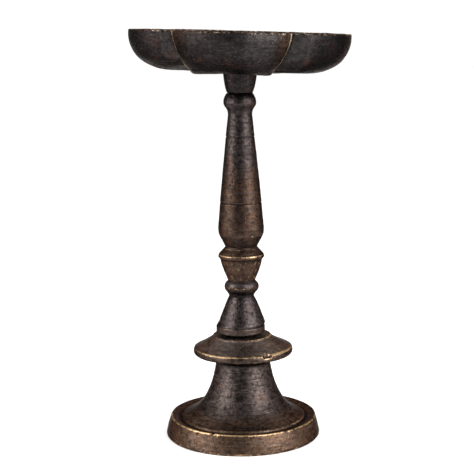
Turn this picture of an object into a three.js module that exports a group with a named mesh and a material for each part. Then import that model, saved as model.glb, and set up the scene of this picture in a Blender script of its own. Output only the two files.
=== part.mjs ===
// A standing oil lamp of cast bronze: a lobed bowl, a turned baluster stem and a flared foot with a drip flange.
// Millimetres, +Z up. The origin is on the floor under the stem's axis, and the front of the lamp faces -Y.
import * as THREE from "three";
import { mergeVertices } from "three/addons/utils/BufferGeometryUtils.js";

// The base casting, from the floor up
const BASE_RADIUS = 45.7; // at the floor
const BASE_EDGE_ROUND = 1.4; // worn round on the lower edge
const RIM_RADIUS = 43.1; // the worn arris at the top of the plinth rim
const RIM_HEIGHT = 11.9; // floor to that arris
const RIM_ROUND = 0.6; // how far that arris is worn down
const RIM_LIP = 1.5; // width of the raised lip behind the arris
const RIM_DISH = 0.5; // how far the top of the rim lies below the lip
const FLARE_RADIUS = 37; // where the flare runs out on the plinth rim
const FLARE_HEIGHT = 33; // from there up to the neck
const NECK_RADIUS = 16;
const FLANGE_UNDER = 4.6; // neck top to the flange's lower edge
const FLANGE_LOW_RADIUS = 25.2; // of that lower edge
const FLANGE_RADIUS = 29.2;
const FLANGE_EDGE = 3.9; // thickness of the flange's edge
const FLANGE_EDGE_ROUND = 0.7; // how far that edge is worn round, above and below
const FLANGE_RISE = 7; // edge to the shoulder of the seat
const SEAT_RADIUS = 17.2; // the round platform that carries the stem
const SEAT_STEP = 1.1; // height of that platform above the flange's shoulder
const SEAT_SPREAD = 0.6; // how much wider it is at that shoulder
const BASE_WALL = 3.4; // metal left above the hollow under the foot
const FLANGE_LEAN = 0.7; // degrees: the flange was filed a little high on its right

// The stem casting, from its foot up
const FOOT_BAND_RADIUS = 14.6;
const FOOT_BAND_HEIGHT = 5.4;
const FOOT_BAND_TAPER = 0.3; // how much narrower the band is at its top
const FOOT_CONE_STEP = 0.4; // height of the small step from the band to the cone
const FOOT_CONE_RADIUS = 14.1; // the cone where it leaves the band
const FOOT_CONE_HEIGHT = 17.2;
const LOW_WAIST_RADIUS = 7.1;
const RING_RADIUS = 9.95;
const RING_BELOW = 5.8; // waist to the widest part of the ring
const RING_ABOVE = 3.5; // widest part to the waist over it
const CUP_WAIST_RADIUS = 7.8;
const CUP_HEIGHT = 12.9;
const CUP_RADIUS = 12; // the cup just under the collar
const COLLAR_RADIUS = 13.25;
const COLLAR_UNDER = 1.6; // cup to the collar's sharp edge
const COLLAR_EDGE = 1.5; // thickness of that edge
const COLLAR_TAPER = 0.2; // how much narrower the edge is at its top
const COLLAR_SHOULDER = 4.5; // edge to the waist over it
const HIGH_WAIST_RADIUS = 9.2;
const BELLY_RADIUS = 13.35;
const BELLY_BELOW = 11.6; // waist to the widest part of the baluster
const BALUSTER_TAPER = 66.4; // widest part to the slim neck
const TAPER_SWELL = 0.3; // how far the taper swells low down and hollows high up
const SLIM_RADIUS = 6.9;
const BEAD_RADIUS = 9.45;
const BEAD_BELOW = 6.8; // slim neck to the widest part of the bead
const BEAD_ABOVE = 5.5; // widest part to the stem's top
const STEM_TOP_RADIUS = 7.6;
const INCISED_DEPTH = 0.35; // the incised rings on the baluster
const INCISED_WIDTH = 1.1;
const INCISED_LOW = 13.4; // widest part of the baluster to its lower incised ring
const INCISED_HIGH = 52.3; // and to its upper one

// The bowl casting, from the foot of its boss up
const BOSS_FOOT_RADIUS = 7.4;
const BOSS_RADIUS = 9.9; // where it meets the bowl
const BOSS_HEIGHT = 12.1;
const BOWL_DEPTH = 21.7; // underside to rim
const LOBES = 5;
const LOBE_CENTRE = 24.8; // the lamp's axis to the middle of each round lobe
const LOBE_RADIUS = 40.3; // of each lobe, at the rim
const VALLEY_DEPTH = 0.9; // the groove between two lobes, deeper than where their rounds meet
const VALLEY_WIDTH = 2.2; // half the width of that groove
const NOSE_ROUND = 24; // how far the rounded side runs in under the lobe
const BOWL_RIM_UPRIGHT = 1.6; // upright stretch of the side under the rim
const BOWL_RIM_ROUND = 0.5; // how far the rim's two arrises are worn round
const BOWL_WALL = 2.6;
const BOWL_TURN = -9; // degrees from -Y to the front lobe
const BOWL_TILT = 2; // degrees: the bowl sits a little low on its right

// How each curve bends on its way up: its two control points, as shares of its width and its height
const BASE_EDGE_BEND = [[0.7, 0], [1, 0.4]];
const FLARE_BEND = [[0.62, 0.12], [0.9, 0.5]];
const FLANGE_UNDER_BEND = [[0.05, 0.5], [0.3, 0.9]];
const FLANGE_TOP_BEND = [[0.45, 0.16], [0.85, 0.5]];
const FOOT_CONE_BEND = [[0.14, 0.18], [0.71, 0.8]];
const RING_LOW_BEND = [[0.3, 0.25], [1, 0.65]];
const RING_HIGH_BEND = [[0, 0.3], [0.5, 0.6]];
const CUP_BEND = [[0.33, 0.3], [0.79, 0.6]];
const COLLAR_BEND = [[0.15, 0.3], [0.8, 0.6]];
const BELLY_BEND = [[0.57, 0.4], [1, 0.62]];
const BEAD_LOW_BEND = [[0.04, 0.62], [1, 0.58]];
const BEAD_HIGH_BEND = [[0, 0.4], [0.36, 0.7]];
const BOSS_BEND = [[0.52, 0.25], [0.74, 0.45]];

// Fits and fineness
const SEAT_GAP = 0.3; // between one casting and the next
const BASE_SIDES = 38;
const STEM_SIDES = 32;
const LOBE_SIDES = 17; // round each lobe
const VALLEY_CROWDING = 0.5; // how much closer those sides lie in the valleys
const ROUND_STEPS = 3;
const CURVE_STEPS = 4;
const FLARE_STEPS = 9;
const HOLLOW_STEPS = 6;
const NOSE_STEPS = 8;

const bronze = (color) => new THREE.MeshStandardMaterial({ color, roughness: 0.5, metalness: 0.9 });

const at = (radius, height) => new THREE.Vector2(radius, height);

// The curve from one point of an outline to another.
function curve(from, to, [[lowAcross, lowUp], [highAcross, highUp]]) {
  const span = to.clone().sub(from);
  return new THREE.CubicBezierCurve(
    from,
    at(from.x + lowAcross * span.x, from.y + lowUp * span.y),
    at(from.x + highAcross * span.x, from.y + highUp * span.y),
    to,
  );
}

const sweep = (from, to, bend, steps) => curve(from, to, bend).getPoints(steps);

// A turned solid from its outline, which starts and ends on the axis. Points that repeat are merged.
function turned(outline, sides) {
  const geometry = new THREE.LatheGeometry(outline, sides).rotateX(Math.PI / 2);
  geometry.deleteAttribute("normal");
  geometry.deleteAttribute("uv");
  return mergeVertices(geometry, 1e-4);
}

// Moves every vertex of a geometry by a function of its place.
function reshape(geometry, move) {
  const place = geometry.getAttribute("position");
  const point = new THREE.Vector3();
  for (let i = 0; i < place.count; i += 1) {
    move(point.fromBufferAttribute(place, i));
    place.setXYZ(i, point.x, point.y, point.z);
  }
  return geometry;
}

function casting(name, geometry, color) {
  geometry.computeVertexNormals();
  const mesh = new THREE.Mesh(geometry, bronze(color));
  mesh.name = name;
  return mesh;
}

// Heights of the base's members above the floor
const flareFoot = RIM_HEIGHT - RIM_DISH;
const neckTop = flareFoot + FLARE_HEIGHT;
const flangeLow = neckTop + FLANGE_UNDER;
const flangeHigh = flangeLow + FLANGE_EDGE;
const shoulder = flangeHigh + FLANGE_RISE;
const seat = shoulder + SEAT_STEP;

const flare = curve(at(FLARE_RADIUS, flareFoot), at(NECK_RADIUS, neckTop), FLARE_BEND);

// The hollow under the foot follows the flare at one wall's thickness.
function hollowPoints(steps) {
  const points = [];
  for (let i = 0; i <= steps; i += 1) {
    const tangent = flare.getTangent(i / steps);
    const inward = at(-tangent.y, tangent.x).multiplyScalar(BASE_WALL);
    points.push(flare.getPoint(i / steps).add(inward));
  }
  return points;
}

function makeBase() {
  const hollow = hollowPoints(HOLLOW_STEPS);
  const hollowTop = hollow[HOLLOW_STEPS];
  const flangeTopRadius = FLANGE_RADIUS - FLANGE_EDGE_ROUND;
  const outline = [
    at(0, hollowTop.y),
    ...hollow.toReversed(),
    at(RIM_RADIUS - BASE_WALL, flareFoot - BASE_WALL),
    at(BASE_RADIUS - BASE_WALL - BASE_EDGE_ROUND, 0),
    ...sweep(at(BASE_RADIUS - BASE_EDGE_ROUND, 0), at(BASE_RADIUS, BASE_EDGE_ROUND), BASE_EDGE_BEND, ROUND_STEPS),
    at(RIM_RADIUS, RIM_HEIGHT - RIM_ROUND),
    at(RIM_RADIUS - RIM_ROUND, RIM_HEIGHT),
    at(RIM_RADIUS - RIM_LIP, flareFoot),
    ...flare.getPoints(FLARE_STEPS),
    ...sweep(at(NECK_RADIUS, neckTop), at(FLANGE_LOW_RADIUS, flangeLow), FLANGE_UNDER_BEND, ROUND_STEPS).slice(1),
    at(FLANGE_RADIUS, flangeLow + FLANGE_EDGE / 2),
    ...sweep(at(flangeTopRadius, flangeHigh), at(SEAT_RADIUS + SEAT_SPREAD, shoulder), FLANGE_TOP_BEND, CURVE_STEPS),
    at(SEAT_RADIUS, seat),
    at(0, seat),
  ];
  const lean = Math.tan(THREE.MathUtils.degToRad(FLANGE_LEAN));
  const geometry = reshape(turned(outline, BASE_SIDES), (point) => {
    const share = THREE.MathUtils.clamp((point.z - neckTop) / FLANGE_UNDER, 0, 1);
    point.z += share * lean * point.x;
  });
  return casting("base", geometry, 0x46362a);
}

// One incised ring at a height on the baluster, where the outline has the given radius.
function incised(radius, height) {
  return [
    at(radius, height - INCISED_WIDTH / 2),
    at(radius - INCISED_DEPTH, height),
    at(radius, height + INCISED_WIDTH / 2),
  ];
}

function makeStem() {
  const coneFoot = FOOT_BAND_HEIGHT + FOOT_CONE_STEP;
  const lowWaist = coneFoot + FOOT_CONE_HEIGHT;
  const ring = lowWaist + RING_BELOW;
  const cupWaist = ring + RING_ABOVE;
  const cupTop = cupWaist + CUP_HEIGHT;
  const collar = cupTop + COLLAR_UNDER;
  const collarTop = collar + COLLAR_EDGE;
  const highWaist = collarTop + COLLAR_SHOULDER;
  const belly = highWaist + BELLY_BELOW;
  const slim = belly + BALUSTER_TAPER;
  const bead = slim + BEAD_BELOW;
  const top = bead + BEAD_ABOVE;
  const taper = (rise) => {
    const share = rise / BALUSTER_TAPER;
    return THREE.MathUtils.lerp(BELLY_RADIUS, SLIM_RADIUS, share) + TAPER_SWELL * (1 - 2 * share);
  };
  const outline = [
    at(0, 0),
    at(FOOT_BAND_RADIUS, 0),
    at(FOOT_BAND_RADIUS - FOOT_BAND_TAPER, FOOT_BAND_HEIGHT),
    ...sweep(at(FOOT_CONE_RADIUS, coneFoot), at(LOW_WAIST_RADIUS, lowWaist), FOOT_CONE_BEND, CURVE_STEPS),
    ...sweep(at(LOW_WAIST_RADIUS, lowWaist), at(RING_RADIUS, ring), RING_LOW_BEND, ROUND_STEPS).slice(1),
    ...sweep(at(RING_RADIUS, ring), at(CUP_WAIST_RADIUS, cupWaist), RING_HIGH_BEND, ROUND_STEPS).slice(1),
    ...sweep(at(CUP_WAIST_RADIUS, cupWaist), at(CUP_RADIUS, cupTop), CUP_BEND, CURVE_STEPS).slice(1),
    at(COLLAR_RADIUS, collar),
    ...sweep(at(COLLAR_RADIUS - COLLAR_TAPER, collarTop), at(HIGH_WAIST_RADIUS, highWaist), COLLAR_BEND, ROUND_STEPS),
    ...sweep(at(HIGH_WAIST_RADIUS, highWaist), at(BELLY_RADIUS, belly), BELLY_BEND, CURVE_STEPS).slice(1),
    ...incised(taper(INCISED_LOW), belly + INCISED_LOW),
    at(taper(BALUSTER_TAPER / 2), belly + BALUSTER_TAPER / 2),
    ...incised(taper(INCISED_HIGH), belly + INCISED_HIGH),
    ...sweep(at(SLIM_RADIUS, slim), at(BEAD_RADIUS, bead), BEAD_LOW_BEND, CURVE_STEPS),
    ...sweep(at(BEAD_RADIUS, bead), at(STEM_TOP_RADIUS, top), BEAD_HIGH_BEND, ROUND_STEPS).slice(1),
    at(0, top),
  ];
  const stem = casting("stem", turned(outline, STEM_SIDES), 0x453428);
  stem.position.z = seat + SEAT_GAP + SEAT_RADIUS * Math.sin(THREE.MathUtils.degToRad(FLANGE_LEAN));
  return { stem, top: stem.position.z + top };
}

// The lobed outline's radius at a turn from the nearest lobe's middle, where it reaches `reach` at the lobe's tip.
// Round dishes meet at the valleys, and a soft groove runs down each valley.
function lobedRadius(reach, turn) {
  const dish = reach - LOBE_CENTRE;
  const aside = LOBE_CENTRE * Math.sin(turn);
  const radius = LOBE_CENTRE * Math.cos(turn) + Math.sqrt(Math.max(dish * dish - aside * aside, 0));
  const fromValley = radius * (Math.PI / LOBES - Math.abs(turn));
  const groove = VALLEY_DEPTH * Math.exp(-((fromValley / VALLEY_WIDTH) ** 2));
  return radius - groove * (radius / (LOBE_CENTRE + LOBE_RADIUS));
}

// The rounded side of a lobe as points of reach and height, from the underside up to the upright under the rim.
function nosePoints(reach, low, high, steps) {
  const points = [];
  for (let i = 0; i <= steps; i += 1) {
    const turn = (i / steps) * (Math.PI / 2);
    points.push(at(reach - NOSE_ROUND * (1 - Math.sin(turn)), high - (high - low) * Math.cos(turn)));
  }
  return points;
}

function makeBowl() {
  const reach = LOBE_CENTRE + LOBE_RADIUS;
  const rim = BOSS_HEIGHT + BOWL_DEPTH;
  const upright = rim - BOWL_RIM_UPRIGHT;
  const floor = BOSS_HEIGHT + BOWL_WALL;
  const outline = [
    at(0, 0),
    ...sweep(at(BOSS_FOOT_RADIUS, 0), at(BOSS_RADIUS, BOSS_HEIGHT), BOSS_BEND, CURVE_STEPS),
    ...nosePoints(reach, BOSS_HEIGHT, upright, NOSE_STEPS),
    at(reach, rim - BOWL_RIM_ROUND),
    at(reach - BOWL_RIM_ROUND, rim),
    at(reach - BOWL_WALL + BOWL_RIM_ROUND, rim),
    ...nosePoints(reach - BOWL_WALL, floor, upright, NOSE_STEPS - 1).toReversed(),
    at(0, floor),
  ];
  const pitch = (2 * Math.PI) / LOBES;
  const geometry = reshape(turned(outline, LOBES * LOBE_SIDES), (point) => {
    const radius = Math.hypot(point.x, point.y);
    if (radius < (BOSS_RADIUS + reach - NOSE_ROUND) / 2) return;
    const azimuth = Math.atan2(point.x, -point.y);
    const middle = pitch * Math.round(azimuth / pitch);
    const even = azimuth - middle;
    const turn = even + (VALLEY_CROWDING / LOBES) * Math.sin(LOBES * even);
    const lobed = lobedRadius(radius, turn);
    point.x = lobed * Math.sin(middle + turn);
    point.y = -lobed * Math.cos(middle + turn);
  });
  const bowl = casting("bowl", geometry, 0x3f3028);
  bowl.rotation.z = THREE.MathUtils.degToRad(BOWL_TURN);
  return bowl;
}

const lamp = new THREE.Group();
const { stem, top } = makeStem();
const tilted = new THREE.Group();
tilted.position.z = top + SEAT_GAP + BOSS_FOOT_RADIUS * Math.sin(THREE.MathUtils.degToRad(BOWL_TILT));
tilted.rotation.y = THREE.MathUtils.degToRad(BOWL_TILT);
tilted.add(makeBowl());
lamp.add(makeBase(), stem, tilted);

export default lamp;
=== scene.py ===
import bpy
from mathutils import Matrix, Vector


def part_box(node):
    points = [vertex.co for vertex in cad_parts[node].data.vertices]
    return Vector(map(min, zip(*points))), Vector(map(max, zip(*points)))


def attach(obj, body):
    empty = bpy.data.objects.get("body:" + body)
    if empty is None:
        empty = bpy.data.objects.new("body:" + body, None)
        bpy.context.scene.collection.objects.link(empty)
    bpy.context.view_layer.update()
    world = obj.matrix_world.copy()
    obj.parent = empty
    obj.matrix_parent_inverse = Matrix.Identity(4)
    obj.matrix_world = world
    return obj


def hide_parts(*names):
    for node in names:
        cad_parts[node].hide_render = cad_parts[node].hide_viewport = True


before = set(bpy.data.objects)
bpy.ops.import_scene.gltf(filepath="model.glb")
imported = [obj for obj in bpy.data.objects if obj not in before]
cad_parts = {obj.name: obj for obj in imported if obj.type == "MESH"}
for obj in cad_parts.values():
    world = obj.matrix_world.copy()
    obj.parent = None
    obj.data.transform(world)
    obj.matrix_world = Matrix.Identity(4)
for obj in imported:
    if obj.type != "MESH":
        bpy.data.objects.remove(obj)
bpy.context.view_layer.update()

# %% [markdown]
# A lamp is measured in millimetres, and Blender counts in metres. Every size could be written in metres,
# but that is hard to read, so one name for a millimetre is used all through. The packed nodes say at which
# height each casting starts, and each new piece is set on that height, so that nothing shifts.
# %% Units and the castings' places
import math

import bpy
import numpy as np
from mathutils import Matrix, Vector
from mathutils.geometry import interpolate_bezier

MM = 0.001
STEM_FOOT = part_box("stem")[0].z
BOWL_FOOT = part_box("bowl")[0].z
print("the stem starts at", round(STEM_FOOT / MM, 2), "mm and the bowl at", round(BOWL_FOOT / MM, 2), "mm")

# %% [markdown]
# The camera stands a little left of the lamp's front, above its middle, and looks down by ten degrees. It
# was held a little crooked, so the lamp leans to the left. The picture could be straightened, but the lean
# is kept, so that the render can be laid over the photo.
# %% Camera
CAMERA_TURN = math.radians(-3.5)  # round the lamp, to the left of its front
CAMERA_DISTANCE = 754 * MM
CAMERA_HEIGHT = 248 * MM
CAMERA_PITCH = math.radians(9.65)  # downwards
CAMERA_ASIDE = math.radians(0.186)  # how far it looks past the lamp
CAMERA_ROLL = math.radians(0.6)
CAMERA_ANGLE = math.radians(20.77)
CAMERA_NEAR = 10 * MM

bpy.ops.object.select_all(action="DESELECT")
bpy.ops.object.camera_add()
camera = bpy.context.object
camera.data.angle = CAMERA_ANGLE
camera.data.clip_start = CAMERA_NEAR
stand = Vector((math.sin(CAMERA_TURN), -math.cos(CAMERA_TURN), 0)) * CAMERA_DISTANCE
stand.z = CAMERA_HEIGHT
camera.matrix_world = (
    Matrix.Translation(stand)
    @ Matrix.Rotation(CAMERA_TURN + CAMERA_ASIDE, 4, "Z")
    @ Matrix.Rotation(math.pi / 2 - CAMERA_PITCH, 4, "X")
    @ Matrix.Rotation(-CAMERA_ROLL, 4, "Z")
)
bpy.context.scene.camera = camera
print("the camera stands at", [round(place, 3) for place in stand])

# %% [markdown]
# The photo was taken on plain white. A curved backdrop could give that, but a very large pale floor under
# an evenly white room does too, because both are so light that no line shows where they meet.
# %% Floor and room
FLOOR_SIZE = 12.0
FLOOR_TONE = 0.94
ROOM_LIGHT = 1.08
MATT = 0.9

bpy.context.scene.view_settings.view_transform = "Standard"


def plain_material(name, tone, roughness):
    """A grey material of one tone."""
    material = bpy.data.materials.new(name)
    material.use_nodes = True
    shader = material.node_tree.nodes["Principled BSDF"]
    shader.inputs["Base Color"].default_value = (tone, tone, tone, 1)
    shader.inputs["Roughness"].default_value = roughness
    return material


bpy.ops.mesh.primitive_plane_add(size=FLOOR_SIZE)
floor = bpy.context.object
floor.name = "floor"
floor.data.materials.append(plain_material("pale_floor", FLOOR_TONE, MATT))

room = bpy.data.worlds.new("room")
room.use_nodes = True
room.node_tree.nodes["Background"].inputs["Color"].default_value = (1, 1, 1, 1)
room.node_tree.nodes["Background"].inputs["Strength"].default_value = ROOM_LIGHT
bpy.context.scene.world = room
print("the floor is", FLOOR_SIZE, "m wide")

# %% [markdown]
# Dark metal shows what stands around it. One lamp would leave a single hot spot on each round member. Two
# tall soft boxes are set at the sides instead, and the bronze shows them as long pale bands. A dark card
# behind the camera keeps the front of the lamp dark between the bands.
# %% Dark card and soft boxes
LAMP_MIDDLE = Vector((0, 0, 0.14))
STAND_DISTANCE = 1.35
CARD_SIZE = (1.0, 1.5)
CARD_HEIGHT = 0.78
CARD_TONE = 0.02
BOX_TALL = 1.5
BOX_HEIGHT = 0.62


def stand_at(thing, turn, height):
    """Places a thing at a turn from the lamp's front, in degrees, and faces it to the middle of the lamp."""
    turn = math.radians(turn)
    thing.location = (STAND_DISTANCE * math.sin(turn), -STAND_DISTANCE * math.cos(turn), height)
    aim = LAMP_MIDDLE - thing.location
    thing.rotation_euler = aim.to_track_quat("-Z", "Y").to_euler()


def soft_box(name, turn, width, power):
    """A tall rectangular lamp at a turn from the lamp's front."""
    bpy.ops.object.light_add(type="AREA")
    box = bpy.context.object
    box.name = name
    box.data.shape = "RECTANGLE"
    box.data.size = width
    box.data.size_y = BOX_TALL
    box.data.energy = power
    stand_at(box, turn, BOX_HEIGHT)
    print(name, "is", width, "by", BOX_TALL, "m, with", power, "W")


bpy.ops.mesh.primitive_plane_add(size=1)
card = bpy.context.object
card.name = "dark_card"
card.scale = (*CARD_SIZE, 1)
stand_at(card, -16, CARD_HEIGHT)
card.data.materials.append(plain_material("black_card", CARD_TONE, MATT))
soft_box("left_box", -72, 0.9, 24)
soft_box("right_box", 50, 1.2, 34)

# %% [markdown]
# A turner works from an outline, half of the section. Here it is a list of (radius, height) points. It
# could be traced point by point, but a straight member needs two points only, and a swelling one is a
# single Bezier curve. Its two control points are given as shares of its width and height, so it bends with
# its ends.
# %% Bends and worn corners in an outline


def bend(start, end, low, high, steps=16):
    """Points of a curve from start to end, both (radius, height)."""
    span = np.subtract(end, start)
    knots = [start, start + span * low, start + span * high, end]
    points = interpolate_bezier(*(Vector((r, z, 0)) for r, z in knots), steps)
    return [(p.x, p.y) for p in points]


def rounded(corner, before, after, size, steps=5):
    """A worn corner of an outline: a short curve that starts and ends one size away from the corner."""
    corner, before, after = (np.array(p, float) for p in (corner, before, after))
    start = corner + (before - corner) / np.linalg.norm(before - corner) * size
    end = corner + (after - corner) / np.linalg.norm(after - corner) * size
    points = interpolate_bezier(*(Vector((*p, 0)) for p in (start, corner, corner, end)), steps)
    return [(p.x, p.y) for p in points]


def evenly(outline, gap):
    """The same outline with points an even gap apart, so that the surface has detail everywhere."""
    line = np.array(outline, float)
    far = np.concatenate([[0], np.cumsum(np.linalg.norm(np.diff(line, axis=0), axis=1))])
    stops = np.linspace(0, far[-1], int(far[-1] / gap) + 1)
    return np.column_stack([np.interp(stops, far, line[:, axis]) for axis in (0, 1)])


print("a square corner of 1 mm, worn round, has", len(rounded((1, 1), (1, 0), (0, 1), 1)), "points")

# %% [markdown]
# Turning is what a lathe does. A cylinder could be cut and scaled ring by ring, but the outline is
# quicker. It starts as one point, which is pushed along by extruding it. A Screw modifier without any rise
# sweeps the chain once round the axis and is applied. Merging doubles closes the seam and the two poles.
# %% Turn an outline
DOUBLES = 0.01 * MM


def spin_casting(name, outline, sides, foot=0.0):
    """A closed casting, spun from an outline in millimetres that starts and ends on the axis. foot is the
    height it stands on, in metres."""
    bpy.ops.object.select_all(action="DESELECT")
    points = [(r * MM, z * MM + foot) for r, z in outline]
    bpy.ops.mesh.primitive_plane_add(size=MM, location=(points[0][0], 0, points[0][1]))
    piece = bpy.context.object
    piece.name = piece.data.name = name
    bpy.ops.object.transform_apply(location=True, rotation=True, scale=True)
    bpy.ops.object.mode_set(mode="EDIT")
    bpy.ops.mesh.select_all(action="SELECT")
    bpy.ops.mesh.merge(type="CENTER")
    for (r0, z0), (r1, z1) in zip(points, points[1:]):
        bpy.ops.mesh.extrude_vertices_move(TRANSFORM_OT_translate={"value": (r1 - r0, 0, z1 - z0)})
    bpy.ops.object.mode_set(mode="OBJECT")
    bpy.ops.object.modifier_add(type="SCREW")
    turning = piece.modifiers[-1]
    turning.steps = turning.render_steps = sides
    bpy.ops.object.modifier_apply(modifier=turning.name)
    bpy.ops.object.mode_set(mode="EDIT")
    bpy.ops.mesh.select_all(action="SELECT")
    bpy.ops.mesh.remove_doubles(threshold=DOUBLES)
    bpy.ops.mesh.normals_make_consistent(inside=False)
    bpy.ops.object.mode_set(mode="OBJECT")
    print(name, "has", len(piece.data.polygons), "faces")
    return piece


# %% [markdown]
# The base is a low round plinth with a worn rim, a flare that narrows to a neck, and over it a wide drip
# flange that caught spilled oil. Underneath it is hollow, because thick bronze is dear and shrinks badly
# as it cools. It could be built from stacked cones, but it was cast and turned in one, so one outline goes
# up the hollow, out over the floor, and up the outside to the seat of the stem.
# %% Base outline
BASE_SIDES = 380
BASE_GAP = 0.75  # between two points of the outline
HOLLOW_TOP = 43.9
RIM_RADIUS = 43.4  # of the plinth's upper arris
RIM_TOP = 11.9
TROUGH_RADIUS = 38.9  # outer edge of the trough behind the rim
FLARE_FOOT = 36.9  # radius where the flare starts
FLARE_TOP = 44.4
NECK_RADIUS = 16.2
FLANGE_LOW = 49.15
FLANGE_HIGH = 53.9
FLANGE_RADIUS = 29.7
SHOULDER = 59.9
SEAT_RADIUS = 17.2
SEAT_ROOM = 0.25  # left free for the seat's unevenness
SEAT_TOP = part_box("base")[1].z / MM - SEAT_ROOM

hollow = bend((36, 8.1), (12.6, HOLLOW_TOP), (0.6, 0.13), (0.92, 0.5))
base_outline = [
    (0, HOLLOW_TOP),
    *hollow[::-1],
    (39.7, 8.0),
    (40.9, 0),
    *bend((45.0, 0), (46.1, 1.2), (0.7, 0), (1, 0.4), 4),
    (44.9, 7),
    *rounded((RIM_RADIUS, RIM_TOP), (44.9, 7), (41.8, RIM_TOP), 0.5),
    (41.2, 11.5),
    (TROUGH_RADIUS, 11.0),
    (38.5, 10.5),
    (37.9, 10.3),
    (37.3, 10.6),
    *bend((FLARE_FOOT, 11.7), (NECK_RADIUS, FLARE_TOP), (0.6, 0.13), (0.87, 0.47), 30),
    *bend((NECK_RADIUS, FLARE_TOP), (25.6, FLANGE_LOW), (0.05, 0.5), (0.3, 0.9)),
    *bend((27.8, FLANGE_LOW + 0.4), (FLANGE_RADIUS, FLANGE_LOW + 2), (0.6, 0), (1, 0.5), 5),
    *bend((FLANGE_RADIUS, FLANGE_LOW + 2.2), (28.9, FLANGE_HIGH), (0.05, 0.6), (0.5, 1), 5),
    *bend((28.5, FLANGE_HIGH), (17.9, SHOULDER), (0.27, 0.24), (0.75, 0.6)),
    *rounded((SEAT_RADIUS, SEAT_TOP), (17.7, SHOULDER), (16, SEAT_TOP), 0.3),
    (0, SEAT_TOP),
]
base = spin_casting("lamp_base", evenly(base_outline, BASE_GAP), BASE_SIDES)

# %% [markdown]
# A cast and handled thing is never even. It could be sculpted by hand, but a script can't hold a brush. So
# all points of a piece are read into one array, every fault is a sum over that array, and the points are
# given back.
# %% Reading and moving all points


def points_of(piece):
    """The places of all points, one row each."""
    co = np.empty(len(piece.data.vertices) * 3)
    piece.data.vertices.foreach_get("co", co)
    return co.reshape(-1, 3)


def normals_of(piece):
    """Which way the surface faces at each point."""
    normals = np.empty(len(piece.data.vertices) * 3)
    piece.data.vertices.foreach_get("normal", normals)
    return normals.reshape(-1, 3)


def put_points(piece, co):
    """Moves all points to new places."""
    piece.data.vertices.foreach_set("co", co.ravel())
    piece.data.update()


print("the base has", len(points_of(base)), "points")

# %% [markdown]
# Sand, wax and the file leave a bronze softly uneven. A Displace modifier could do that, but it takes one
# texture at a time. This noise is worked out at the points themselves. A fixed table of random numbers
# keeps every run the same, and each seed picks its own pattern from it.
# %% Unevenness
RANDOM_TABLE = np.random.default_rng(7).uniform(-1, 1, 4096)
SPREAD = (73856093, 19349663, 83492791, 2654435761)  # large odd numbers scatter neighbours over the table


def lumps(co, size, seed):
    """Smooth random values from -1 to 1 at each point, with lumps of a size in millimetres."""
    size = size * MM
    cell = np.floor(co / size).astype(np.int64)
    share = co / size - cell
    share = share * share * (3 - 2 * share)
    total = np.zeros(len(co))
    for corner in range(8):
        step = np.array([corner & 1, corner >> 1 & 1, corner >> 2 & 1])
        x, y, z = (cell + step).T
        place = x * SPREAD[0] ^ y * SPREAD[1] ^ z * SPREAD[2] ^ seed * SPREAD[3]
        value = RANDOM_TABLE[place % len(RANDOM_TABLE)]
        total += value * np.prod(np.where(step, share, 1 - share), axis=1)
    return total


def unevenness(co, *layers):
    """How far each point is raised, in metres. Each layer has a height, a size of lumps and a seed."""
    return sum(height * MM * lumps(co, size, seed) for height, size, seed in layers)


def turning_rings(co, gap, seed):
    """Fine rings that a cutting tool leaves, nearly the same all the way round, from -1 to 1."""
    heights = np.column_stack([np.zeros(len(co)), np.zeros(len(co)), co[:, 2]])
    return lumps(heights, gap, seed) * (0.6 + 0.4 * lumps(co, 14, seed + 1))


sample = lumps(points_of(base), 9, 1)
print("lumps of 9 mm on the base reach from", round(sample.min(), 2), "to", round(sample.max(), 2))

# %% [markdown]
# Small bubbles in the mould leave pits, and knocks leave nicks and chips. A boolean could cut them, but it
# leaves thin faces. Here the points inside a pit or a nick are only pushed in, so the mesh stays even.
# Pits fall anywhere, and the nicks are put where the photo has them.
# %% Pits and dents


def pits(co, seed, count, radii, depth, where):
    """How deep each point lies in one of many small round pits, in metres. where picks the points that may
    get pits."""
    rng = np.random.default_rng(seed)
    deep = np.zeros(len(co))
    places = np.flatnonzero(where)
    weight = np.hypot(co[places, 0], co[places, 1])
    for index in rng.choice(places, count, p=weight / weight.sum()):
        radius = rng.uniform(*radii) * MM
        near = np.flatnonzero(np.abs(co[:, 2] - co[index, 2]) < radius)
        far = np.linalg.norm(co[near] - co[index], axis=1) / radius
        pit = depth * MM * rng.uniform(0.4, 1) * np.clip(1 - far * far, 0, 1)
        deep[near] = np.maximum(deep[near], pit)
    return deep


def dent(co, depth, turn, radius, height, size):
    """How deep each point lies in one dent, in metres. The dent is placed by its turn from the front in
    degrees, its radius and its height, and its size is given along x, y and z."""
    turn = math.radians(turn)
    middle = np.array([radius * math.sin(turn), -radius * math.cos(turn), height]) * MM
    far = np.linalg.norm((co - middle) / (np.array(size) * MM), axis=1)
    return depth * MM * np.clip(1 - far, 0, 1)


nick = dent(points_of(base), 1.1, -27.5, 43.0, 11.6, (1.3, 1.3, 1.3))
print("a nick in the rim takes in", np.count_nonzero(nick), "points")

# %% [markdown]
# Many things below hold only along a stretch of the lamp or near a line on it. They could be picked as
# vertex groups by hand, but three small functions of a height or a radius say it more plainly.
# %% Soft ranges


def between(value, low, high):
    """0 below low, 1 above high and a soft ramp between them."""
    share = np.clip((value - low) / (high - low), 0, 1)
    return share * share * (3 - 2 * share)


def within(value, start, full, fade, end):
    """1 from full to fade, with a soft ramp up from start and another down to end."""
    return between(value, start, full) * (1 - between(value, fade, end))


def line_at(value, place, width):
    """1 at a place, fading like a bell on both sides over about a width."""
    return np.exp(-(((value - place) / width) ** 2))


print("half way up a ramp the value is", float(between(0.5, 0, 1)))

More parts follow.
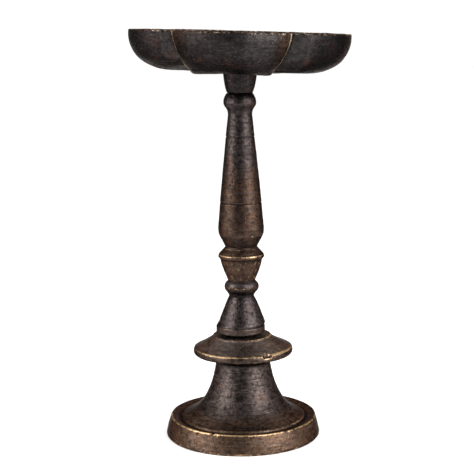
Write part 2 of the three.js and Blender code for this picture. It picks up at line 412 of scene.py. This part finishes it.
# %% [markdown]
# Now the base gets its faults. The flange leans, the flare stands half a millimetre to the right of the
# plinth, and the lathe left fine rings. The dents could be made one by one with their own lines, but a
# table shows them at a glance: depth, turn, radius, height and size. The first two are the chip out of the
# flange's front edge, and the next two are the forked nick in the plinth's rim.
# %% Base faults
FLANGE_LEAN = math.tan(math.radians(0.4))
FLARE_SHIFT = 0.5 * MM
BASE_DENTS = (
    (1.9, 24, 29.1, FLANGE_HIGH - 0.2, (2.6, 2.6, 1.7)),
    (1.2, 29, 29.1, FLANGE_HIGH - 0.6, (1.6, 1.6, 1.4)),
    (1.1, -27.5, 43.0, 11.6, (1.3, 1.3, 1.3)),
    (0.8, -25, 43.4, 10.8, (0.8, 0.8, 1.6)),
    (1.1, -41.6, 43.8, 10.3, (1.0, 1.0, 1.0)),
    (0.4, 31, 43.2, 11.8, (2.0, 2.0, 1.0)),
)

co = points_of(base)
normals = normals_of(base)
height = co[:, 2] / MM
outside = (normals[:, 2] > -0.2) & (height > 0.2)
deep = pits(co, seed=11, count=150, radii=(0.4, 1.1), depth=0.25, where=outside)
deep += pits(co, seed=12, count=14, radii=(1.0, 1.8), depth=0.5, where=outside & (height < 52))
deep += sum(dent(co, *shape) for shape in BASE_DENTS)
deep -= unevenness(co, (0.10, 9, 1), (0.05, 3, 2))
deep += np.where(outside, 0.045 * MM * turning_rings(co, 1.5, 3), 0)
deep *= height > 0.5
co = co - normals * deep[:, None]
leaning = within(height, FLARE_TOP, FLANGE_LOW, FLANGE_HIGH, SHOULDER)
co[:, 2] += leaning * FLANGE_LEAN * co[:, 0]
co[:, 0] += FLARE_SHIFT * within(height, 5, 20, 54, 59)
put_points(base, co)
print("the deepest fault of the base is", round(deep.max() / MM, 2), "mm")

# %% [markdown]
# The stem is one casting turned all over: a foot cone on a band, an angular ring, a cup with a sharp
# collar, a long baluster with two incised rings, and a bead under the bowl. Each member could be its own
# piece, but the photo shows no joint between them, so one outline holds them all. Heights are counted from
# the stem's foot.
# %% Stem outline
STEM_SIDES = 220
STEM_GAP = 0.5
BAND_TOP = 5.6
WAIST = 23.0
RING = 28.8
CUP_WAIST = 32.3
CUP_TOP = 45.2
COLLAR = 46.8
COLLAR_TOP = 48.3
HIGH_WAIST = 52.8
CREASE = 60.2
BELLY = 64.4
BELLY_RADIUS = 13.6
INCISED_LOW = BELLY + 14.8
TAPER_MIDDLE = 96
INCISED_HIGH = BELLY + 53.4
SLIM = 130.8
SLIM_RADIUS = 7.1
TAPER_SWELL = 0.2
BEAD = 137.6
STEM_TOP = (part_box("stem")[1].z - STEM_FOOT) / MM


def baluster(height):
    """The radius of the baluster's long taper at a height."""
    share = (height - BELLY) / (SLIM - BELLY)
    return BELLY_RADIUS + (SLIM_RADIUS - BELLY_RADIUS) * share + TAPER_SWELL * math.sin(math.pi * share)


def incised(height, depth, width):
    """A small V-shaped groove in the taper."""
    radius = baluster(height)
    return [(radius, height - width / 2), (radius - depth, height), (radius, height + width / 2)]


stem_outline = [
    (0, 0),
    (12.0, 0),
    (12.4, 0.9),
    (14.2, 1.1),
    (14.6, 1.6),
    *rounded((14.55, 5.2), (14.6, 3), (13, BAND_TOP), 0.5),
    (14.0, 5.7),
    *bend((14.2, 6.1), (7.4, WAIST), (0.14, 0.18), (0.71, 0.8)),
    *bend((7.4, WAIST), (10.3, RING), (0.1, 0.4), (1, 0.55)),
    *bend((10.3, RING), (8.0, CUP_WAIST), (0, 0.35), (0.4, 0.8)),
    *bend((8.0, CUP_WAIST), (12.4, CUP_TOP), (0.33, 0.3), (0.79, 0.6)),
    (12.5, CUP_TOP + 0.2),
    *rounded((13.7, COLLAR), (12.6, CUP_TOP + 0.3), (13.6, COLLAR_TOP), 0.35),
    *rounded((13.5, COLLAR_TOP), (13.6, COLLAR), (12.6, COLLAR_TOP + 1), 0.3),
    *bend((13.0, COLLAR_TOP + 0.5), (9.5, HIGH_WAIST), (0.3, 0.35), (0.75, 0.7)),
    *bend((9.4, HIGH_WAIST), (13.1, CREASE), (0.35, 0.35), (0.75, 0.7)),
    *bend((13.25, CREASE + 0.3), (BELLY_RADIUS, BELLY), (0.6, 0.3), (1, 0.7)),
    *incised(INCISED_LOW, 0.45, 1.0),
    (baluster(TAPER_MIDDLE), TAPER_MIDDLE),
    *incised(INCISED_HIGH, 0.4, 0.9),
    *bend((SLIM_RADIUS, SLIM), (9.6, BEAD), (0.04, 0.62), (1, 0.58)),
    *bend((9.6, BEAD), (7.6, STEM_TOP), (0, 0.4), (0.36, 0.7)),
    (0, STEM_TOP),
]
stem = spin_casting("lamp_stem", evenly(stem_outline, STEM_GAP), STEM_SIDES, STEM_FOOT)

# %% [markdown]
# The stem's faults are made as the base's were: pits, soft lumps and tool rings. The foot band also stands
# a little to the left of the cone above it. It could be a piece of its own, but moving its points keeps
# the stem one casting.
# %% Stem faults
BAND_SHIFT = 0.85 * MM

co = points_of(stem)
normals = normals_of(stem)
height = (co[:, 2] - STEM_FOOT) / MM
outside = (height > 0.4) & (height < STEM_TOP - 0.4)
deep = pits(co, seed=21, count=260, radii=(0.35, 0.9), depth=0.22, where=outside)
deep += pits(co, seed=22, count=10, radii=(0.8, 1.4), depth=0.45, where=outside)
deep -= unevenness(co, (0.10, 7, 5), (0.05, 2.2, 6))
deep += 0.035 * MM * turning_rings(co, 1.3, 8)
deep *= outside
co = co - normals * deep[:, None]
co[:, 0] -= BAND_SHIFT * (1 - between(height, 5.2, 7.5))
put_points(stem, co)
print("the deepest fault of the stem is", round(deep.max() / MM, 2), "mm")

# %% [markdown]
# The bowl held the oil. It has five lobes, a wall of an even thickness, a flat floor and a round boss
# under it that sits on the stem. It could be cut from five cylinders, but then the wall would need cutting
# again from inside. So it starts as a spun dish with both its sides in one outline, and the lobes are
# drawn in later.
# %% Bowl outline
BOWL_SIDES = 480
BOWL_GAP = 0.95
BOSS_HEIGHT = 12.1
BOWL_DEPTH = 23.3
RIM = BOSS_HEIGHT + BOWL_DEPTH
RIM_WORN = 0.55
RIM_UPRIGHT = 2.6  # height of the straight stretch under the rim
REACH = 65.1  # axis to the outside of a lobe
NOSE_ROUND = 24
WALL = 2.6


def nose(reach, low):
    """The rounded side of a lobe, from the underside up to the upright stretch under the rim."""
    high = RIM - RIM_UPRIGHT
    turns = np.linspace(0, math.pi / 2, 24)
    return [(reach - NOSE_ROUND * (1 - math.sin(t)), high - (high - low) * math.cos(t)) for t in turns]


inside_reach = REACH - WALL
bowl_outline = [
    (0, 0),
    *bend((7.4, 0), (9.9, BOSS_HEIGHT), (0.52, 0.25), (0.74, 0.45)),
    *nose(REACH, BOSS_HEIGHT),
    *rounded((REACH, RIM), (REACH, RIM - 1), (REACH - 1, RIM), RIM_WORN),
    *rounded((inside_reach, RIM), (inside_reach + 1, RIM), (inside_reach, RIM - 1), RIM_WORN),
    *nose(inside_reach, BOSS_HEIGHT + WALL)[::-1],
    (0, BOSS_HEIGHT + WALL),
]
bowl = spin_casting("lamp_bowl", evenly(bowl_outline, BOWL_GAP), BOWL_SIDES)

# %% [markdown]
# Seen from above, the lobes are round dishes set side by side, and each valley lies where two of them
# meet. So every ring of the spun bowl is redrawn as that outline. In plan it could be drawn as a wave, but
# a wave has no sharp valleys. The middle of the floor and the boss stay round, and the outline grows
# towards the rim.
# %% Lobes in plan
LOBES = 5
PITCH = 2 * math.pi / LOBES
LOBE_CENTRE = 24.8  # axis to the middle of each dish
LOBE_TRIM = np.array((1.0, 0.997, 1.0, 1.0, 1.0))  # each lobe's share of the reach, the front one first
VALLEY_FULLNESS = 7.0  # how much less the underside is rounded off beside a valley
FLAT = REACH - NOSE_ROUND  # where the underside starts to curve up
ROUND_MIDDLE = 14  # up to here the rings stay round


def dish_radius(reach, turn):
    """The lobed outline's radius at a turn from the nearest lobe's middle, where round dishes meet."""
    dish = reach - LOBE_CENTRE
    aside = LOBE_CENTRE * np.sin(turn)
    return LOBE_CENTRE * np.cos(turn) + np.sqrt(np.maximum(dish * dish - aside * aside, 0))


co = points_of(bowl) / MM
normals = normals_of(bowl)
reach = np.hypot(co[:, 0], co[:, 1])
outward = np.einsum("ij,ij->i", normals[:, :2], co[:, :2]) / np.maximum(reach, 1)
outer = (normals[:, 2] < -0.01) | (outward > 0.01)
azimuth = np.arctan2(co[:, 0], -co[:, 1])
lobe = np.round(azimuth / PITCH).astype(int)
even = azimuth - lobe * PITCH
turn = even + 0.5 / LOBES * np.sin(LOBES * even)  # gathers the points towards the valleys
side = np.abs(turn) / (PITCH / 2)
trim = 1 + (LOBE_TRIM[lobe % LOBES] - 1) * (1 - side**2)
rounding = np.clip((REACH - reach) / NOSE_ROUND, 0, 1)
full_reach = np.maximum(reach, FLAT) + VALLEY_FULLNESS * np.clip(rounding * 2 - 1, 0, 1) * side**2
radius = dish_radius(full_reach, turn) * trim
round_share = (1 - between(reach, ROUND_MIDDLE, FLAT)) * (reach < FLAT)
radius = radius * (1 + (reach / np.maximum(radius, 1) - 1) * round_share)
radius = np.where(reach < FLAT, np.minimum(radius, reach), radius)
print("at the rim the radius runs from", round(radius[reach > REACH - 0.1].min(), 1), "to", REACH, "mm")

# %% [markdown]
# A channel runs down each valley. On the real bowl it drops steeply at the edge of one lobe, which leaves
# the sharp arris that the photo shows, and runs out softly on the next. A bevel would make both sides
# alike, so the channel is a depth taken off the radius, with a width for either side. The valleys also
# lean in towards their foot, the right one most of all.
# %% Valleys
CHANNEL_DEPTH = 2.6
CHANNEL_BEFORE = np.array((0.9, 4.5, 4.5, 4.5, 5.5))  # width after each lobe, on that lobe's side
CHANNEL_AFTER = np.array((11.0, 4.5, 4.5, 4.5, 0.9))  # and on the next lobe's side
VALLEY_SLANT = np.array((1.8, 1.8, 1.8, 1.8, 3.0))  # how far each valley is drawn in at its middle height
VALLEY_PULL = np.array((6.0, 1.0, 1.0, 1.0, 1.0))  # and at its foot

valley = np.where(turn > 0, lobe, lobe - 1) % LOBES
fall = np.clip((RIM - co[:, 2]) / BOWL_DEPTH, 0, 1)
pull = VALLEY_PULL[valley] * between(fall, 0.1, 1.0) * between(reach, 20, FLAT)
radius = radius - (VALLEY_SLANT[valley] * np.sin(math.pi * fall) + pull) * side**4
along = np.where(turn > 0, -1, 1) * radius * (PITCH / 2 - np.abs(turn))
width = np.where(along < 0, CHANNEL_BEFORE[valley], CHANNEL_AFTER[valley])
far = np.clip(np.abs(along) / width, 0, 1)
channel = CHANNEL_DEPTH * (1 - far) ** 1.3 * (radius / REACH) * between(reach, 28, 42)
radius = radius - channel
print("the channels are", round(channel.max(), 2), "mm deep at most")

# %% [markdown]
# The underside isn't level: the photo shows the left lobe's bottom higher beside the front lobe.
# Proportional editing could lift it by hand. Here each lobe has a rise where it starts, at its middle and
# where it ends, which fades out up the side, so the rim stays level. Then the points are put back on the
# mesh.
# %% Raised undersides
BOWL_TURN = math.radians(-10.2)
RISE_BEFORE = np.array((-0.6, 1.4, 0.0, 0.3, 0.6))
RISE_MIDDLE = np.array((0.5, 0.7, 0.0, 0.6, 0.6))
RISE_AFTER = np.array((-0.5, 0.3, 0.0, 0.8, 4.8))
RISE_FADE = 9  # height over which it fades
INSIDE_RISE = 0.55  # share of it that the floor inside takes

blend_in = between(reach, 20, 36) * np.where(outer, 1, INSIDE_RISE)
rise = np.where(turn > 0, RISE_AFTER[lobe % LOBES], RISE_BEFORE[lobe % LOBES])
rise = (rise * side + RISE_MIDDLE[lobe % LOBES] * (1 - side)) * blend_in
bearing = lobe * PITCH + turn + BOWL_TURN
co[:, 0] = radius * np.sin(bearing)
co[:, 1] = -radius * np.cos(bearing)
co[:, 2] += rise * (1 - between(co[:, 2], BOSS_HEIGHT, BOSS_HEIGHT + RISE_FADE))
put_points(bowl, co * MM)
print("the underside is raised by up to", round(rise.max(), 1), "mm")

# %% [markdown]
# The finish differs from lobe to lobe. Painted highlights brighten the front lobe's two edges, its ends are
# browner, and painted reflections make its right half and the strips beside it greyer. These could be
# painted on an image, but the bowl's own measures, still at hand here, say more exactly where each one
# lies. The masks are kept for the material.
# %% Where the bowl's finish and painted light differ
painted = outer * (reach > 38)
front = painted * (lobe == 0)
edge = np.where(turn > 0, 1.3, 1.8)
# lobe_arris places painted highlights, and the strips and front_right painted reflections
lobe_arris = front * line_at(np.abs(along), edge, 0.7)
right_strip = painted * (valley == 0) * within(along, 0.5, 1.5, 10, 13)
left_strip = painted * (valley == 4) * within(-along, 0.5, 1.5, 5, 8)
front_right = front * within(turn, 0.13, 0.16, 0.4, 0.46)
front_ends = front * between(side, 0.55, 0.9)
print("the bright edges take in", np.count_nonzero(lobe_arris > 0.5), "points")

# %% [markdown]
# The bowl is rougher than the turned parts, because its lobes couldn't be turned and kept their casting
# skin. So its pits are more and its lumps higher. Last it is tilted, because it sits low on its right. The
# object could be turned instead, but its points are turned, and the object stays unturned.
# %% Bowl faults
BOWL_TILT = math.radians(2)
BOWL_SINK = 0.4 * MM  # closes the gap between the tilted boss and the stem

co = points_of(bowl)
normals = normals_of(bowl)
cast_height = co[:, 2] / MM
deep = pits(co, seed=31, count=420, radii=(0.5, 1.2), depth=0.28, where=cast_height > 0.5)
deep += pits(co, seed=35, count=14, radii=(1.2, 2.2), depth=0.4, where=cast_height > 16)
deep -= unevenness(co, (0.16, 11, 11), (0.09, 4, 12), (0.05, 2, 13))
deep *= cast_height > 0.5
co = co - normals * deep[:, None]
co = co @ np.array(Matrix.Rotation(BOWL_TILT, 3, "Y")).T
co[:, 2] += BOWL_FOOT - BOWL_SINK
put_points(bowl, co)
print("the bowl reaches from", round(co[:, 2].min() / MM, 2), "to", round(co[:, 2].max() / MM, 2), "mm")

# %% [markdown]
# Wear and dirt follow the shape: hands rub the arrises down to bare metal, and grime settles in the
# hollows. A bevel node could find edges as it renders, but it isn't exported. Comparing each point with
# its smoothed surroundings finds both, and the numbers are kept on the mesh as attributes, which the
# material reads. Painted highlights and painted shade are added to the same attributes.
# %% Find arrises and hollows
SMOOTHINGS = 4


def save(piece, name, values):
    """Keeps one number for each point on the mesh, for its material to read."""
    values = np.clip(values, 0, 1)
    piece.data.attributes.new(name, "FLOAT", "POINT").data.foreach_set("value", values)
    print(piece.name, name, "is", round(float(values.mean()), 3), "on average")


def proudness(piece):
    """How far each point stands out of its surroundings, in metres: arrises above 0, hollows below."""
    co = points_of(piece)
    pairs = np.empty(len(piece.data.edges) * 2, np.int32)
    piece.data.edges.foreach_get("vertices", pairs)
    a, b = pairs.reshape(-1, 2).T
    links = np.maximum(np.bincount(a, minlength=len(co)) + np.bincount(b, minlength=len(co)), 1)
    smooth = co
    for _ in range(SMOOTHINGS):
        near = [np.bincount(a, line[b], len(co)) + np.bincount(b, line[a], len(co)) for line in smooth.T]
        smooth = 0.5 * smooth + 0.5 * np.column_stack(near) / links[:, None]
    return np.einsum("ij,ij->i", co - smooth, normals_of(piece))


def wear_and_light(piece, arris, hollow, rubbed_and_glint, painted_shade):
    """Saves how worn and how grimy each point is. The third argument adds wear and painted highlights, and
    the fourth painted shade. arris and hollow are the heights, in mm, that count fully."""
    proud = proudness(piece) / MM
    save(piece, "worn", proud / arris + rubbed_and_glint)
    save(piece, "grime", -proud / hollow + painted_shade)


def facing(co, turn, spread):
    """1 at a turn from the front in degrees, fading to 0 over a spread on either side."""
    azimuth = np.degrees(np.arctan2(co[:, 0], -co[:, 1]))
    away = np.abs((azimuth - turn + 180) % 360 - 180)
    return np.clip(1 - away / spread, 0, 1)


print("the sharpest arris of the stem stands out", round(proudness(stem).max() / MM, 2), "mm")

# %% [markdown]
# On the base, the plinth's front arris and the edge of the flange are the brightest, for they were handled
# most, and painted highlights brighten the flange's edge further at the left front and at the right. The
# plinth is golden brown, and the tops of the ring and the flange are paler with painted sheen. Painted
# shade darkens the band under the flange's edge, and a painted dark reflection the front of the flare. All
# this could be brushed on as vertex paint, but a height, a radius and a turn say where each of them lies,
# and they can be changed with one number.
# %% Wear and painted light of the base
co = points_of(base)
height = co[:, 2] / MM
radius = np.hypot(co[:, 0], co[:, 1]) / MM
leaned = leaning * FLANGE_LEAN * co[:, 0] / MM
plinth_arris = line_at(height, RIM_TOP - 0.3, 0.45) * (radius > RIM_RADIUS - 0.8)
plinth_foot = line_at(height, 0.8, 1.1) * (radius > RIM_RADIUS - 0.4)
plinth_band = (radius > RIM_RADIUS - 1.4) * (height < RIM_TOP - 0.2)
trough_edge = line_at(radius, FLARE_FOOT, 0.4) * (height > 5)
ring_top = between(radius, TROUGH_RADIUS - 0.1, TROUGH_RADIUS + 0.5) * (height > 10.8) * (1 - plinth_band)
ring_top = ring_top * facing(co, -60, 110)
flange_top = between(height, FLANGE_HIGH - 0.4, FLANGE_HIGH + 0.4)
flange_arris = line_at(height - leaned, FLANGE_HIGH - 0.1, 0.35) * (radius > FLANGE_RADIUS - 1.9)
under_arris = 1 - between(height - leaned, FLANGE_HIGH - 1.2, FLANGE_HIGH - 0.6)
flange_band = (height > FLARE_TOP) * under_arris
low_flare = between(radius, 22, 33) * (height < FLARE_TOP)
tool_marks = low_flare * turning_rings(co, 0.5, 41)

rubbed_and_glint = 0.68 * plinth_arris * facing(co, -16, 48) - 0.12 * plinth_foot + 0.14 * plinth_band
# painted highlights: the two facing terms brighten the flange's edge at the left front and at the right
rubbed_and_glint += flange_arris * (0.25 + 0.6 * facing(co, -32, 45) + 0.5 * facing(co, 46, 25))
# the flange_top and ring_top terms are painted sheen on those tops
rubbed_and_glint += 0.35 * trough_edge * facing(co, 55, 50) + 0.35 * flange_top * facing(co, 50, 120) + 0.2 * ring_top
# painted shade under the flange's edge, and a painted dark reflection down the front of the flare
painted_shade = 0.5 * flange_band + 0.25 * facing(co, 2, 14) * (radius < 30) * (height < FLARE_TOP)
wear_and_light(base, arris=0.42, hollow=0.32, rubbed_and_glint=rubbed_and_glint, painted_shade=painted_shade)
save(base, "warm", 1.2 * plinth_band + 0.8 * low_flare + 0.6 * (height > 47))
bloom = 0.26 * (1 - plinth_band) * (1 - 0.7 * low_flare)
# ring_top and flange_top make those tops paler with painted sheen
save(base, "pale", bloom + 0.4 * tool_marks + 0.8 * ring_top + flange_top)

# %% [markdown]
# On the stem, the collar shows the brightest line, because it stands out most. The ring, the crease and the
# foot band show fainter ones, and the line at the high waist is a painted highlight, as is the paler upper
# slope of the ring. The cup and the belly are brown and golden, the slim top and the foot cone are greyer,
# painted shade lies along the front and under the crease, and a band from the crease up over the belly is
# darker. A brush would wobble on such lines. They all go right round, so a height places each of them.
# %% Wear and painted light of the stem
co = points_of(stem)
height = (co[:, 2] - STEM_FOOT) / MM
crease = line_at(height, CREASE + 0.1, 0.4)
lines = 0.15 * line_at(height, BAND_TOP, 0.3) + 0.45 * line_at(height, RING + 0.1, 0.4)
# the second term, the line at the high waist, is a painted highlight
lines += 0.55 * line_at(height, COLLAR_TOP - 0.2, 0.4) + 0.55 * line_at(height, HIGH_WAIST - 0.9, 0.4)
lines += 0.2 * crease
golden = 0.15 * within(height, 58, 62, 72, 100) + 0.3 * (height > CUP_WAIST + 0.7) * (height < CUP_TOP)
# darker in a band from the crease up over the belly, and painted shade along the front
painted_shade = 0.25 * within(height, CREASE, BELLY, 90, 105) + 0.25 * facing(co, 0, 25)
# painted shade under the crease
painted_shade += 0.35 * within(height, HIGH_WAIST, HIGH_WAIST + 1, CREASE - 1.5, CREASE - 0.5)
wear_and_light(stem, arris=0.4, hollow=0.2, rubbed_and_glint=lines + golden, painted_shade=painted_shade)

foot_cone = within(height, 5, 6, 22, 32)
slim_top = between(height, 84, 118)
ring_high = within(height, RING + 0.4, RING + 1, CUP_WAIST, CUP_WAIST + 1)
save(stem, "warm", 0.7 * (1 - slim_top - foot_cone))
bloom = 0.55 * (1 - between(height, 20, 24)) + 0.25 * between(height, 90, 118)
# ring_high makes the ring's upper slope paler with a painted highlight
save(stem, "pale", bloom + ring_high + 0.8 * crease)

# %% [markdown]
# On the bowl, the rim is rubbed thin and brown, and painted highlights make the front lobe's edges bright.
# Painted shade lies thickest on the right lobe beside the valley, and thinner on the left lobe's outer side,
# on the front lobe's left and on the boss. The tip of the right lobe is worn golden brown, and painted
# reflections make the front lobe's right half and the strips beside it paler. The lobes could be found
# again on the tilted bowl, but the masks kept from before are simpler, because each point kept its number.
# %% Wear and painted light of the bowl
co = points_of(bowl)
rim_top = between(cast_height, RIM - 0.5, RIM - 0.1)
boss = cast_height < BOSS_HEIGHT - 1
# the lobe_arris term paints highlights on the front lobe's edges
rubbed_and_glint = (0.27 + 0.15 * facing(co, 20, 45)) * rim_top + 1.7 * lobe_arris + 0.3 * painted * facing(co, 74, 16)
# painted shade on the side lobes, on the front lobe's left and on the boss
painted_shade = 0.7 * between(facing(co, 50, 12), 0, 0.3) + 0.2 * between(facing(co, -100, 45), 0, 0.3)
painted_shade = painted * np.maximum(painted_shade, 0.2 * facing(co, -20, 30)) + 0.3 * boss
wear_and_light(bowl, arris=1.1, hollow=0.3, rubbed_and_glint=rubbed_and_glint, painted_shade=painted_shade)
save(bowl, "warm", 1.2 * rim_top + 0.8 * painted * facing(co, 75, 22) + 0.5 * front_ends)
# painted reflections on the strips and on the front lobe's right half
save(bowl, "pale", (0.8 * right_strip + 0.8 * left_strip + 0.7 * front_right) * (1 - rim_top))

# %% [markdown]
# A material is a tree of nodes. It could be drawn in the shader editor. In a script, a small class that
# adds a node, wires its inputs and hands back its output keeps each layer of the patina to a line or two.
# All patterns read Object coordinates, so they stay on the bronze when the lamp is moved.
# %% Shader nodes as layers


class Layers:
    """Adds shader nodes to a material, wiring each input from a value or from another node's output."""

    def __init__(self, name):
        self.material = bpy.data.materials.new(name)
        self.material.use_nodes = True
        self.tree = self.material.node_tree
        self.shader = self.tree.nodes["Principled BSDF"]
        self.place = self.node("ShaderNodeTexCoord", {}).outputs["Object"]

    def node(self, kind, inputs, **settings):
        """A new node with its settings and inputs."""
        node = self.tree.nodes.new(kind)
        for key, value in settings.items():
            setattr(node, key, value)
        for key, value in inputs.items():
            self.feed(node.inputs[key], value)
        return node

    def feed(self, socket, value):
        """Wires an output to a socket, or sets a plain value on it."""
        if isinstance(value, bpy.types.NodeSocket):
            self.tree.links.new(value, socket)
        else:
            socket.default_value = value

    def attribute(self, name):
        """A number kept on the mesh."""
        return self.node("ShaderNodeAttribute", {}, attribute_name=name).outputs["Fac"]

    def noise(self, size, stretch=(1, 1, 1), detail=4.0, shift=0.0):
        """Noise with lumps of a size in mm, longer along an axis whose stretch is small."""
        placing = {"Vector": self.place, "Scale": stretch, "Location": (shift, shift, shift)}
        mapping = self.node("ShaderNodeMapping", placing)
        inputs = {"Vector": mapping.outputs["Vector"], "Scale": 1 / (size * MM), "Detail": detail}
        return self.node("ShaderNodeTexNoise", inputs).outputs["Fac"]

    def ramp(self, value, low, high):
        """0 below low, 1 above high."""
        inputs = {"Value": value, "From Min": low, "From Max": high}
        return self.node("ShaderNodeMapRange", inputs, interpolation_type="SMOOTHSTEP").outputs["Result"]

    def math(self, operation, a, b):
        """A sum, difference or product of two numbers."""
        return self.node("ShaderNodeMath", {0: a, 1: b}, operation=operation).outputs[0]

    def times(self, value, factor):
        """A number made weaker or stronger."""
        return self.math("MULTIPLY", value, factor)

    def mix(self, share, below, above):
        """Mixes two colours, each a triple or a node's output."""
        below, above = ((*c, 1) if isinstance(c, tuple) else c for c in (below, above))
        return self.node("ShaderNodeMix", {0: share, 6: below, 7: above}, data_type="RGBA").outputs[2]

    def blend(self, share, below, above):
        """Mixes two numbers."""
        return self.node("ShaderNodeMix", {0: share, 2: below, 3: above}).outputs[0]


print("Layers can do:", ", ".join(name for name in vars(Layers) if not name.startswith("_")))

# %% [markdown]
# Old bronze is metal under a thin brown-black skin. One noise between two browns would look like paint, so
# the skin is built from layers: a dark and a brown patina, a grey bloom, rust-brown stains, streaks and
# scratches that run round it, fine specks, grime in the hollows with painted shade, and bare golden metal
# where it is worn and where highlights are painted. Warm and pale, kept on the mesh, say where the skin is
# browner or greyer, and pale also carries painted sheen and painted reflections.
# %% Colours of the patina and of painted light
DARK = (0.009, 0.0075, 0.0072)
COOL = (0.032, 0.025, 0.024)
COOL_BOWL = (0.021, 0.0178, 0.0172)
WARM = (0.066, 0.038, 0.025)
WARM_BASE = (0.077, 0.046, 0.030)
STAIN = (0.045, 0.023, 0.018)
BLOOM_BASE = (0.125, 0.096, 0.084)
BLOOM_STEM = (0.064, 0.053, 0.052)
BLOOM_BOWL = (0.040, 0.036, 0.035)
SPECK = (0.12, 0.09, 0.07)
# the next colour also paints shade, and the two bare colours after it also paint highlights
GRIME_AND_SHADE = (0.004, 0.0035, 0.0035)
BARE_AND_GLINT = (0.42, 0.28, 0.15)
BARE_AND_GLINT_BOWL = (0.36, 0.28, 0.21)


def patina_and_light(layers, cool, warmer, bloom, bare_and_glint, coarse, shift):
    """The skin's colour, with painted highlights and painted shade, and how worn it is, each a node's
    output.
    coarse says how rough the skin is, and shift moves the noises, so that no two castings have the same
    pattern."""
    clouds = layers.math("SUBTRACT", layers.noise(9, shift=shift), 0.5)
    warm = layers.math("ADD", layers.attribute("warm"), clouds)
    pale = layers.attribute("pale")
    skin = layers.mix(layers.ramp(warm, 0.1, 0.9), cool, warmer)
    # the pale mix also lays painted sheen and painted reflections
    skin = layers.mix(layers.times(pale, 0.85), skin, bloom)
    dark = layers.mix(layers.times(layers.math("ADD", warm, pale), 0.28), DARK, skin)
    mottle = layers.noise(1.9, stretch=(0.7, 0.7, 1), detail=8, shift=shift)
    color = layers.mix(layers.ramp(mottle, 0.28, 0.68), dark, skin)
    stains = layers.ramp(layers.noise(8, detail=6, shift=shift + 2), 0.55, 0.7)
    color = layers.mix(layers.times(stains, 0.6), color, STAIN)
    streaks = layers.ramp(layers.noise(5, stretch=(0.5, 0.5, 5), detail=4, shift=shift + 3), 0.5, 0.72)
    color = layers.mix(layers.times(streaks, 0.5), color, skin)
    scratches = layers.ramp(layers.noise(1.0, stretch=(0.12, 0.12, 1), detail=3, shift=shift + 5), 0.56, 0.7)
    color = layers.mix(layers.times(scratches, 0.45), color, bloom)
    specks = layers.ramp(layers.noise(0.8, detail=3, shift=shift + 4), 0.6, 0.75)
    color = layers.mix(layers.times(specks, 0.35 * coarse), color, SPECK)
    # this mix also lays painted shade
    color = layers.mix(layers.attribute("grime"), color, GRIME_AND_SHADE)
    scuffs = layers.math("SUBTRACT", layers.noise(2.2, detail=5), 0.52)
    # worn also carries painted highlights
    worn = layers.math("ADD", layers.attribute("worn"), layers.times(scuffs, 1.4))
    worn = layers.ramp(worn, 0.35, 0.85)
    return layers.mix(worn, color, bare_and_glint), worn


print("bare metal is", round(BARE_AND_GLINT[0] / WARM[0], 1), "times as bright as the brown skin")

# %% [markdown]
# Rubbed bronze shines more than its skin does, and the skin is duller in one place than in the next. One
# roughness for all would make it look like plastic, so the grain and the wear change it. Its edge colour
# is dark, because the skin swallows light that only grazes it. A fine bump adds the grain and the turning
# lines that are too small for the mesh.
# %% Bronze
METAL = 0.95
EDGE_TINT = (0.3, 0.27, 0.25, 1)
SHINY = 0.24
DULL = 0.46
RUBBED = 0.3
GRAIN_HEIGHT = 0.25 * MM
GRAIN_STRENGTH = 0.8


def bronze(name, cool, warmer, bloom, bare_and_glint, coarse, shift):
    """Patinated bronze for one casting."""
    layers = Layers(name)
    color, worn = patina_and_light(layers, cool, warmer, bloom, bare_and_glint, coarse, shift)
    layers.feed(layers.shader.inputs["Base Color"], color)
    grain = layers.noise(1.1, detail=6)
    rough = layers.blend(layers.ramp(grain, 0.3, 0.7), SHINY, DULL)
    layers.feed(layers.shader.inputs["Roughness"], layers.blend(worn, rough, RUBBED))
    layers.shader.inputs["Metallic"].default_value = METAL
    layers.shader.inputs["Specular Tint"].default_value = EDGE_TINT
    turned = layers.noise(0.7, stretch=(0.04, 0.04, 1), detail=2)
    relief = layers.math("ADD", grain, layers.times(turned, 0.5))
    depth = GRAIN_HEIGHT * coarse
    bump = layers.node("ShaderNodeBump", {"Height": relief, "Distance": depth, "Strength": GRAIN_STRENGTH})
    layers.feed(layers.shader.inputs["Normal"], bump.outputs["Normal"])
    print(name, "has", len(layers.tree.nodes), "nodes")
    return layers.material


# %% [markdown]
# One bronze could serve all three castings, but the photo shows the bowl darker and rougher than the stem,
# and the base lighter, so each gets its own. Nothing moves on this lamp, so all three ride on the root
# body. Each new piece stands for the packed node of the same name.
# %% Dress the castings
base_bronze = bronze("base_bronze", COOL, WARM_BASE, BLOOM_BASE, BARE_AND_GLINT, coarse=1.0, shift=0.0)
stem_bronze = bronze("stem_bronze", COOL, WARM, BLOOM_STEM, BARE_AND_GLINT, coarse=1.0, shift=3.1)
bowl_bronze = bronze("bowl_bronze", COOL_BOWL, WARM, BLOOM_BOWL, BARE_AND_GLINT_BOWL, coarse=1.8, shift=5.7)
finishes = {
    base: ("base_bronze", base_bronze, "base"),
    stem: ("stem_bronze", stem_bronze, "stem"),
    bowl: ("bowl_bronze", bowl_bronze, "bowl"),
}
for piece, (slot, material, node) in finishes.items():
    piece.data.materials.append(material)
    piece.data.shade_smooth()
    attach(piece, "root")
    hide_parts(node)
    print(piece.name, "is dressed in", slot)
